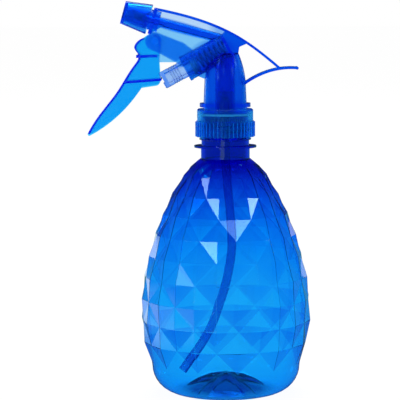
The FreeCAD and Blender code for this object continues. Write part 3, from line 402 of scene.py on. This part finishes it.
NECK_SHADES = ((0.078, (1.0, 1.0, 1.0)), (0.094, (0.90, 0.93, 0.95)),
               (0.105, (0.55, 0.68, 0.88)), (0.115, (0.20, 0.33, 0.72)),
               (0.123, (0.01, 0.015, 0.55)))
# The base is darker partly for its thicker plastic and partly as painted shade, standing in for
# the shadowed floor seen through it.
THICK_AND_SHADED_BASE = ((0, 0, 0.006), 0, (0.027, 0.027, 0.018), (0.05, 0.08, 0.32))
# The bottle's facet layer is painted shade: some diamond faces are darkened by a share listed for
# each row.
bottle_plastic = tinted_plastic("blue_bottle_plastic", (6.8, 1.2, 0.01), 0.015, 1.57, 90.0,
                                deeper=NECK_SHADES, darker_spots=(THICK_AND_SHADED_BASE,),
                                layer=("facet_painted_shade", (0.30, 0.25, 0.78)))
THICK_BELL = ((0, 0, 0.160), 0, (0.020, 0.020, 0.027), (0.2, 0.50, 0.90))
THICK_CREST = ((0.008, 0, 0.192), 0, (0.016, 0.02, 0.014), (0.4, 0.62, 0.92))
THICK_BARREL = ((-0.0084, 0, 0.1785), 28, (0.0140, 0.0085, 0.0085), (0.15, 0.45, 0.90))
THICK_DUCT = ((-0.0241, 0, 0.1934), -15.33, (0.0250, 0.0065, 0.0032), (0.12, 0.40, 0.92))
head_plastic = tinted_plastic("blue_head_plastic", (1.2, 0.26, 0.02), 0.20, 1.49,
                              haze=(0.84, 0.78, 1.0), sheen_of_skin=(0.15, 0.55, 0.95),
                              darker_spots=(THICK_BELL, THICK_CREST, THICK_BARREL, THICK_DUCT))
cap_plastic = tinted_plastic("blue_cap_plastic", (1.4, 0.20, 0.0), 0.26, 1.49,
                             haze=(0.72, 0.78, 1.0), sheen_of_skin=(0.15, 0.70, 1.0))
trigger_plastic = tinted_plastic("azure_trigger_plastic", (2.6, 0.38, 0.012), 0.12, 1.49,
                                 haze=(0.9, 0.9, 1.0), sheen_of_skin=(0.2, 0.75, 1.0))
plunger_plastic = tinted_plastic("pale_plunger_plastic", (0.24, 0.13, 0.01), 0.16, 1.50)
tube_plastic = tinted_plastic("milky_tube_plastic", (1.2, 0.75, 0.22), 0.16, 1.51)
valve_plastic = tinted_plastic("natural_valve_plastic", (0.10, 0.07, 0.03), 0.22, 1.49)


# %% Plain plastic, rubber and steel
def opaque(name, colour, roughness, metallic=0.0, grain=400.0):
    """A solid finish with a little mottling and a fine skin."""
    material = bpy.data.materials.new(name)
    material.use_nodes = True
    tree = material.node_tree
    body = tree.nodes["Principled BSDF"]
    body.inputs["Metallic"].default_value = metallic
    spot = tree.nodes.new("ShaderNodeTexCoord")
    mottle = tree.nodes.new("ShaderNodeTexNoise")
    mottle.inputs["Scale"].default_value = grain
    shade = tree.nodes.new("ShaderNodeMix")
    shade.data_type = "RGBA"
    shade.inputs["A"].default_value = (*colour, 1)
    shade.inputs["B"].default_value = (*(0.85 * c for c in colour), 1)
    spread = tree.nodes.new("ShaderNodeMapRange")
    spread.inputs["To Min"].default_value = roughness * 0.8
    spread.inputs["To Max"].default_value = roughness * 1.25
    bump = tree.nodes.new("ShaderNodeBump")
    bump.inputs["Strength"].default_value = 0.4
    bump.inputs["Distance"].default_value = 0.00002
    tree.links.new(spot.outputs["Object"], mottle.inputs["Vector"])
    tree.links.new(mottle.outputs["Fac"], shade.inputs["Factor"])
    tree.links.new(shade.outputs["Result"], body.inputs["Base Color"])
    tree.links.new(mottle.outputs["Fac"], spread.inputs["Value"])
    tree.links.new(spread.outputs["Result"], body.inputs["Roughness"])
    tree.links.new(mottle.outputs["Fac"], bump.inputs["Height"])
    tree.links.new(bump.outputs["Normal"], body.inputs["Normal"])
    return material


seal_rubber = opaque("natural_seal_rubber", (0.72, 0.75, 0.78), 0.55)
spring_steel = opaque("drawn_spring_wire", (0.62, 0.66, 0.72), 0.42, metallic=0.5)
ball_steel = opaque("polished_ball", (0.75, 0.76, 0.78), 0.08, metallic=1.0)

# %% [markdown]
# ## Moulded pieces
# The CAD pieces have knife edges. A moulded piece has edges rounded by a tenth of a
# millimetre, and they catch the light. Each piece is copied, the triangles of its flat faces
# are joined, and a bevel rounds what is sharp. The trigger keeps its triangles, because
# joining them spoils its curved flanges when the bevel is put on.
#
# The head's two ears hold the trigger's stubs. Each ends in a round nose with the pivot's hole.
# The CAD ear stops just short of the pivot, so the nose is made here, as a flat ring round
# the joint's axis, and united with the head. It is a hair thinner than the ear, because faces
# that lie exactly in one plane don't unite cleanly.

# %% Grow one form out of another
def united(mesh, other):
    """The mesh joined with another object's, which is used up."""
    carrier = bpy.data.objects.new("carrier", mesh)
    bpy.context.collection.objects.link(carrier)
    union = carrier.modifiers.new("union", "BOOLEAN")
    union.operation, union.solver, union.object = "UNION", "EXACT", other
    made = bpy.data.meshes.new_from_object(
        carrier.evaluated_get(bpy.context.evaluated_depsgraph_get()))
    used_up = other.data
    bpy.data.objects.remove(carrier)
    bpy.data.objects.remove(other)
    bpy.data.meshes.remove(used_up)
    return made


NOSE_R, NOSE_HOLE_R = 4.72 * MM, 1.95 * MM      # round end of an ear and its pivot hole
EAR_IN, EAR_OUT = 5.82 * MM, 7.08 * MM          # the ear plate's faces, from the middle plane
pivot = Vector(joints["trigger_pull"]["pos_m"])


def ear_nose(name, side, steps=64):
    """Flat ring round the trigger's stub: the free end of one ear."""
    mesh = bpy.data.meshes.new(name)
    form = bmesh.new()
    rings = []
    for radius, out in ((NOSE_R, EAR_IN), (NOSE_R, EAR_OUT), (NOSE_HOLE_R, EAR_OUT),
                        (NOSE_HOLE_R, EAR_IN)):
        rings.append([form.verts.new(pivot + Vector((radius * math.cos(a), side * out,
                                                     radius * math.sin(a))))
                      for a in (2 * math.pi * k / steps for k in range(steps))])
    for i, ring in enumerate(rings):
        after = rings[(i + 1) % len(rings)]
        for k in range(steps):
            j = (k + 1) % steps
            form.faces.new((ring[k], ring[j], after[j], after[k]))
    bmesh.ops.recalc_face_normals(form, faces=form.faces)
    form.to_mesh(mesh)
    form.free()
    piece = bpy.data.objects.new(name, mesh)
    bpy.context.collection.objects.link(piece)
    return piece


# %% Copy a CAD piece and round its edges
SAME_POINT = 0.002 * MM             # corners closer than this are one
FLAT_WITHIN = math.radians(0.4)     # triangles that bend less than this make one flat face
SHARP_FROM = math.radians(24)       # a corner this sharp keeps its crease in the shading
ROUNDED_FROM = math.radians(28)     # and one this sharp is rounded


def moulded(node, material, body, round_by=0.12 * MM, merge_flat=True, added=()):
    """Rounded copy of a CAD piece.

    merge_flat joins the triangles of each flat face before the rounding.
    added lists objects that grow out of the same moulding.
    """
    mesh = nodes[node].data.copy()
    mesh.materials.clear()
    mesh.materials.append(material)
    form = bmesh.new()
    form.from_mesh(mesh)
    bmesh.ops.remove_doubles(form, verts=form.verts, dist=SAME_POINT)
    bmesh.ops.recalc_face_normals(form, faces=form.faces)
    form.to_mesh(mesh)
    for other in added:
        mesh = united(mesh, other)
    form.clear()
    form.from_mesh(mesh)
    if merge_flat:
        bmesh.ops.dissolve_limit(form, angle_limit=FLAT_WITHIN, verts=form.verts,
                                 edges=form.edges, delimit=set())
    bmesh.ops.recalc_face_normals(form, faces=form.faces)
    form.to_mesh(mesh)
    form.free()
    if "custom_normal" in mesh.attributes:
        mesh.attributes.remove(mesh.attributes["custom_normal"])
    piece = bpy.data.objects.new(node + "_moulded", mesh)
    bpy.context.collection.objects.link(piece)
    mesh.shade_smooth()
    mesh.set_sharp_from_angle(angle=SHARP_FROM)
    bevel = piece.modifiers.new("rounded_edges", "BEVEL")
    bevel.width = round_by
    bevel.segments = 2
    bevel.limit_method = "ANGLE"
    bevel.angle_limit = ROUNDED_FROM
    bevel.harden_normals = False
    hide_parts(node)
    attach(piece, body)
    print(node, "->", piece.name, len(mesh.polygons), "faces")


moulded("sprayer_body", head_plastic, body="head",
        added=[ear_nose("left_nose", -1), ear_nose("right_nose", 1)])
moulded("trigger", trigger_plastic, body="trigger", merge_flat=False)
moulded("screw_cap", cap_plastic, body="cap", round_by=0.08 * MM)
moulded("nozzle", head_plastic, body="nozzle")
moulded("plunger", plunger_plastic, body="plunger", round_by=0.06 * MM)

# %% [markdown]
# ## The blown bottle
# A blown wall copies its mould: twelve diamonds a ring, each a low pyramid of four flat faces,
# with every ridge slightly rounded because molten plastic never fills a sharp corner. The CAD
# wall gives the rows; this mesh repeats them, inside and out, and rounds the ridges with a
# weighted bevel. The smooth parts, which are neck, heel and base, are measured off the CAD
# surface with straight probes, so that no size is written twice.

# %% Probe the CAD wall
FACETS_ROUND = 12
FACET_TURN = math.radians(8.0)      # from the front to the first corner
FACET_RELIEF = 0.9 * MM             # how far a diamond's middle stands out
BAND_LOW, BAND_HIGH = 15.0 * MM, 120.5 * MM     # heights between which the diamonds lie
SAME_ANGLE = 0.0005                 # radians within which a corner is on the first meridian
cad_bottle = nodes["bottle"].data
wall = BVHTree.FromPolygons([v.co for v in cad_bottle.vertices],
                            [list(face.vertices) for face in cad_bottle.polygons])


def on_meridian(angle, radius, height):
    return Vector((radius * math.sin(angle), -radius * math.cos(angle), height))


def probe(start, toward):
    """First place where a straight line meets the CAD wall."""
    return wall.ray_cast(start, (toward - start).normalized())[0]


def facet_rows():
    """Outer and inner (radius, height) of each diamond row, off the first meridian."""
    spots = set()
    for vertex in cad_bottle.vertices:
        x, y, z = vertex.co
        if abs(math.atan2(x, -y) - FACET_TURN) < SAME_ANGLE and BAND_LOW < z < BAND_HIGH:
            spots.add((round(z, 5), round(math.hypot(x, y), 5)))
    spots = sorted(spots)
    pairs = [sorted((r, z) for z, r in spots[i:i + 2]) for i in range(0, len(spots), 2)]
    return [(outer, inner) for inner, outer in pairs]


rows = facet_rows()
print("diamond rows:", len(rows), "wall (mm):",
      [round(math.dist(*row) / MM, 2) for row in rows])

# %% Corners and crowns of the diamonds
WALL_SHARE = 0.5                    # share of the CAD wall that this thin skin keeps
INNER_RELIEF = 0.97                 # air pressure doesn't copy the mould fully on the inside
INNER_SLIP = 0.3 * MM               # the soft wall sags, so each inner crown sits a bit high
HAND_FINISH = 0.22 * MM             # how unevenly a hand-polished mould sets the points


def corner_and_crown(row, side):
    """(radius, height) of a row's corners and crowns; side 0 is outside, 1 inside."""
    outer, inner = (Vector(p) for p in rows[row])
    normal = (outer - inner).normalized()
    corner = (outer, outer.lerp(inner, WALL_SHARE))[side]
    if row % 2:                     # the first meridian runs through this row's crowns
        corner = corner - normal * FACET_RELIEF
    if side == 0:
        return corner, corner + normal * FACET_RELIEF
    upward = Vector((-normal.y, normal.x))
    return corner, corner + normal * FACET_RELIEF * INNER_RELIEF + upward * INNER_SLIP


# Painted shade: the share by which each row's (lower, upper) faces are darkened, standing in for
# how each face mirrors the room; a small random spread varies it face by face.
FACET_PAINTED_SHADE = {1: (0.50, 0.0), 2: (0.45, 0.0), 3: (0.40, 0.10), 4: (0.35, 0.25), 5: (0.20, 0.40),
            6: (0.15, 0.45), 7: (0.10, 0.45), 8: (0.0, 0.45), 9: (0.0, 0.40)}


def row_angle(row, place):
    return FACET_TURN + 2 * math.pi / FACETS_ROUND * (place + (0.5 if row % 2 else 0))


# %% One skin of the diamond band
RIM_STEPS = 8                       # pieces of round rim beside one diamond


def facet_skin(form, side, kinds, painted_shades):
    """Add the band's outer (0) or inner (1) skin; returns its lower and upper rim."""
    top = len(rows) - 1
    spot = {}
    uneven = random.Random(65)      # the same unevenness inside and out
    shade_jitter = random.Random(7)
    for row in range(1, top):
        pair = corner_and_crown(row, side)
        for half in range(2 * FACETS_ROUND):
            radius, height = pair[half % 2]
            radius += uneven.uniform(-HAND_FINISH, 0)
            spot[row, half] = form.verts.new(on_meridian(row_angle(row, half / 2), radius, height))
    rims = {}
    for row in (0, top):
        corner = corner_and_crown(row, side)[0]
        count = FACETS_ROUND * RIM_STEPS
        rims[row] = [form.verts.new(on_meridian(row_angle(row, i / RIM_STEPS), *corner))
                     for i in range(count)]

    def corner_vertex(row, half_turn):
        """Corner of a row, counted in half diamonds from the first meridian."""
        half_turn %= 2 * FACETS_ROUND
        if row in rims:
            return rims[row][half_turn // 2 * RIM_STEPS]
        return spot[row, half_turn - row % 2]

    def face(kind, *corners, tinge=0.0):
        made = form.faces.new(corners)
        made[kinds] = kind
        made[painted_shades] = tinge

    for row in range(1, top):
        for place in range(FACETS_ROUND):
            left = 2 * place + row % 2
            crown = spot[row, 2 * place + 1]
            ring = [corner_vertex(row, left), corner_vertex(row + 1, left + 1),
                    corner_vertex(row, left + 2), corner_vertex(row - 1, left + 1)]
            for i in range(4):
                # painted shade on the outer faces: the row's share, plus a small random spread
                share = FACET_PAINTED_SHADE[row][i < 2] + shade_jitter.uniform(-0.12, 0.12)
                face(1, ring[i], ring[(i + 1) % 4], crown, tinge=0.0 if side else max(0.0, share))
    for row, beyond in ((0, 1), (top, top - 1)):
        rim = rims[row]
        for place in range(FACETS_ROUND):
            tip = corner_vertex(beyond, 2 * place + 1)
            for i in range(RIM_STEPS):
                a = place * RIM_STEPS + i
                face(2, rim[a], rim[(a + 1) % len(rim)], tip)
    return rims[0], rims[top]


# %% Smooth rings: neck, heel and base
def join_rings(form, low, high, kinds, kind=3):
    for i in range(len(low)):
        j = (i + 1) % len(low)
        form.faces.new((low[i], low[j], high[j], high[i]))[kinds] = kind


def ring_angles():
    count = FACETS_ROUND * RIM_STEPS
    return [FACET_TURN + 2 * math.pi * i / count for i in range(count)]


BORE_WITHIN = 11.8 * MM             # under the rim, the bore is nearer the axis than this
NECK_FROM = (123.3 * MM, 123.7 * MM)    # where the neck begins, outside and inside
OUT_OF_BOTTLE = 50.0 * MM           # a probe's run that clears the heel
OUT_OF_NECK = 30.0 * MM             # and one that clears the neck, or the base from below


def neck_levels(inside):
    """Heights at which the neck's outline turns a corner."""
    rim = max(v.co.z for v in cad_bottle.vertices)
    levels = set()
    for vertex in cad_bottle.vertices:
        x, y, z = vertex.co
        radius = math.hypot(x, y)
        if z > NECK_FROM[inside] and (radius < BORE_WITHIN) == inside:
            levels.add(round(z, 4))
    return sorted(levels), rim


def neck_rings(form, start, inside, kinds):
    levels, rim = neck_levels(inside)
    before = start
    for z in levels:
        ring = []
        at = min(z, rim - 0.02 * MM)
        for angle in ring_angles():
            far, axis = on_meridian(angle, OUT_OF_NECK, at), on_meridian(angle, 0.0, at)
            hit = probe(axis, far) if inside else probe(far, axis)
            shown = rim if z > rim - 0.05 * MM else z
            ring.append(form.verts.new((hit.x, hit.y, shown)))
        join_rings(form, before, ring, kinds)
        before = ring
    return before


def skin_point(outdoors, indoors, inside):
    """Where a line from outdoors to indoors crosses the outer or the inner skin."""
    outer = probe(outdoors, indoors)
    return outer.lerp(probe(indoors, outdoors), WALL_SHARE) if inside else outer


HEEL_STEPS, FLOOR_STEPS = 9, 22
HEEL_CENTRE = (25.0 * MM, 14.3 * MM)    # the heel is rounded about this ring


def base_rings(form, start, inside, kinds):
    """Down round the heel, then inward over the standing ring and the ribbed dome."""
    before = start
    for step in range(HEEL_STEPS + 1):
        swing = math.pi / 2 * step / HEEL_STEPS
        ring = []
        for angle in ring_angles():
            centre = on_meridian(angle, *HEEL_CENTRE)
            far = on_meridian(angle, HEEL_CENTRE[0] + OUT_OF_BOTTLE * math.cos(swing),
                              HEEL_CENTRE[1] - OUT_OF_BOTTLE * math.sin(swing))
            ring.append(form.verts.new(skin_point(far, centre, inside)))
        join_rings(form, before, ring, kinds)
        before = ring
    for step in range(1, FLOOR_STEPS):
        radius = HEEL_CENTRE[0] * (1 - step / FLOOR_STEPS)
        ring = []
        for angle in ring_angles():
            above = on_meridian(angle, radius, OUT_OF_NECK)
            below = on_meridian(angle, radius, -OUT_OF_NECK)
            ring.append(form.verts.new(skin_point(below, above, inside)))
        join_rings(form, before, ring, kinds)
        before = ring
    above, below = Vector((0, 0, OUT_OF_NECK)), Vector((0, 0, -OUT_OF_NECK))
    centre = form.verts.new(skin_point(below, above, inside))
    for i in range(len(before)):
        form.faces.new((before[i], before[(i + 1) % len(before)], centre))[kinds] = 3


# %% The whole bottle
RIDGE_ROUND = 0.14 * MM


def blown_bottle():
    mesh = bpy.data.meshes.new("blown_bottle")
    form = bmesh.new()
    kinds = form.faces.layers.int.new("kind")
    painted_shades = form.faces.layers.float.new("facet_painted_shade")
    lips = []
    for side in (0, 1):
        low, high = facet_skin(form, side, kinds, painted_shades)
        lips.append(neck_rings(form, high, side == 1, kinds))
        base_rings(form, low, side == 1, kinds)
    join_rings(form, lips[0], lips[1], kinds)
    bmesh.ops.recalc_face_normals(form, faces=form.faces)
    weight = form.edges.layers.float.new("bevel_weight_edge")

    def outside(edge):
        face = edge.link_faces[0]
        middle = face.calc_center_median()
        return face.normal.dot(Vector((middle.x, middle.y, 0))) > 0

    for edge in form.edges:
        bend = edge.calc_face_angle(0)
        among = {face[kinds] for face in edge.link_faces}
        if 1 in among and not outside(edge):
            edge.smooth = False
        elif 1 in among and bend > math.radians(1.2):
            edge[weight] = 1.0
        elif among == {3} and bend > math.radians(20):
            edge[weight] = 0.35
    form.to_mesh(mesh)
    form.free()
    mesh.materials.append(bottle_plastic)
    mesh.shade_smooth()
    piece = bpy.data.objects.new("blown_bottle", mesh)
    bpy.context.collection.objects.link(piece)
    ridge = piece.modifiers.new("rounded_ridges", "BEVEL")
    ridge.limit_method = "WEIGHT"
    ridge.width = RIDGE_ROUND
    ridge.segments = 2
    ridge.harden_normals = True
    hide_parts("bottle")
    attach(piece, "bottle")
    print("blown bottle:", len(mesh.polygons), "faces")


blown_bottle()

# %% [markdown]
# ## Thread and springs
# The neck carries one raised helical thread that the cap climbs. The CAD neck is plain, so the
# thread is a ridge of its own, swept along a helix with run-outs that fade into the neck. The
# two springs are drawn wire: a round section swept along a coil whose end turns lie flat. Each
# coil fills its CAD spring's length; the share of that length it would keep at the end of its
# joint's travel is worked out and printed, but the coil doesn't shorten with the joint.

# %% Sweep a section along a path
def sweep(name, path, section):
    """path: (point, across, up) frames; section(i): list of (across, up) offsets there."""
    mesh = bpy.data.meshes.new(name)
    form = bmesh.new()
    loops = []
    for i, (point, across, up) in enumerate(path):
        loops.append([form.verts.new(point + across * a + up * b) for a, b in section(i)])
    for low, high in zip(loops, loops[1:]):
        count = len(low)
        for i in range(count):
            j = (i + 1) % count
            form.faces.new((low[i], low[j], high[j], high[i]))
    form.faces.new(reversed(loops[0]))
    form.faces.new(loops[-1])
    bmesh.ops.recalc_face_normals(form, faces=form.faces)
    form.to_mesh(mesh)
    form.free()
    mesh.shade_smooth()
    mesh.set_sharp_from_angle(angle=math.radians(50))
    piece = bpy.data.objects.new(name, mesh)
    bpy.context.collection.objects.link(piece)
    return piece


# %% The neck's thread
THREAD_TURNS, THREAD_PITCH, THREAD_STEPS = 1.75, 3.0 * MM, 140
THREAD_START, THREAD_RISE = 139.2 * MM, 0.8 * MM
NECK_R = 12.8 * MM                  # a little inside the neck's skin, so the ridge grows from it


def thread_path():
    path = []
    for i in range(THREAD_STEPS + 1):
        turn = 2 * math.pi * THREAD_TURNS * i / THREAD_STEPS
        out_way = on_meridian(turn, 1.0, 0.0)
        spot = out_way * NECK_R + Vector((0, 0, THREAD_START + THREAD_PITCH * turn / 2 / math.pi))
        path.append((spot, out_way, Vector((0, 0, 1))))
    return path


def thread_section(i):
    fade = min(1.0, 8 * min(i, THREAD_STEPS - i) / THREAD_STEPS)
    rise, foot, crest = THREAD_RISE * fade, 0.75 * MM, 0.3 * MM
    return [(-0.1 * MM, -foot), (rise, -crest), (rise, crest), (-0.1 * MM, foot)]


thread = sweep("neck_thread", thread_path(), thread_section)
thread.data.materials.append(bottle_plastic)
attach(thread, "bottle")

# %% The two wire springs
def wire_coil(name, node, joint, wire, radius, open_turns):
    """Coil with flat end turns that fills the CAD spring's length; also returns the share of it
    that its joint's travel would leave.
    """
    slide = joints[joint]
    along = Vector(slide["axis"]).normalized()
    cad_coil = [v.co for v in nodes[node].data.vertices]
    middle = sum(cad_coil, Vector()) / len(cad_coil)
    reach = [(co - middle).dot(along) for co in cad_coil]
    front = middle + along * (min(reach) + wire)
    span = max(reach) - min(reach) - 2 * wire
    side = Vector((0, 1, 0))
    top = along.cross(side)
    flat, steps = 0.9, 40
    turns = open_turns + 2 * flat
    count = round(turns * steps)
    path = []
    for i in range(count + 1):
        turn = turns * i / count
        rise = min(1.0, max(0.0, (turn - flat) / open_turns))
        angle = 2 * math.pi * turn
        out_way = side * math.cos(angle) + top * math.sin(angle)
        end_gap = 2.0 * wire * (min(turn, flat) / flat + max(0.0, turn - turns + flat) / flat)
        spot = front + out_way * radius + along * ((span - 4.0 * wire) * rise + end_gap)
        path.append((spot, out_way, along))
    ring = [(wire * math.cos(a), wire * math.sin(a))
            for a in (2 * math.pi * k / 12 for k in range(12))]
    spring = sweep(name, path, lambda i: ring)
    spring.data.materials.append(spring_steel)
    keep = 1 - slide["range_m"][1] / (span + 2 * wire)
    print(name, "length (mm):", round((span + 2 * wire) / MM, 2), "keeps", round(keep, 3))
    return spring, tuple(along), tuple(front + along * (span + wire)), keep


coil, way, fixed_end, keep = wire_coil("return_coil", "return_spring", "plunger_stroke",
                                       0.7 * MM, 3.9 * MM, 4.4)
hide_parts("return_spring")
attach(coil, "head")
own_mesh(coil)

coil, way, fixed_end, keep = wire_coil("outlet_coil", "outlet_spring", "outlet_poppet_lift",
                                       0.25 * MM, 2.0 * MM, 3.0)
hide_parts("outlet_spring")
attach(coil, "head")
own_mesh(coil)

# %% [markdown]
# ## The pieces that keep their CAD shape
# The tube, seals, plugs, poppet and ball are plain turned or swept forms that sit inside
# other plastic, where a rounded edge wouldn't show. They keep their CAD meshes and only get a
# finish: milky plastic for the tube and plugs, soft rubber for the seals, steel for the ball.

# %% Finishes for the inner pieces
for node, material in (("dip_tube", tube_plastic), ("neck_gasket", seal_rubber),
                       ("piston_seal", seal_rubber), ("tube_retainer", valve_plastic),
                       ("swirl_plug", valve_plastic), ("outlet_poppet", valve_plastic),
                       ("inlet_ball", ball_steel)):
    mesh = nodes[node].data
    mesh.materials.clear()
    mesh.materials.append(material)
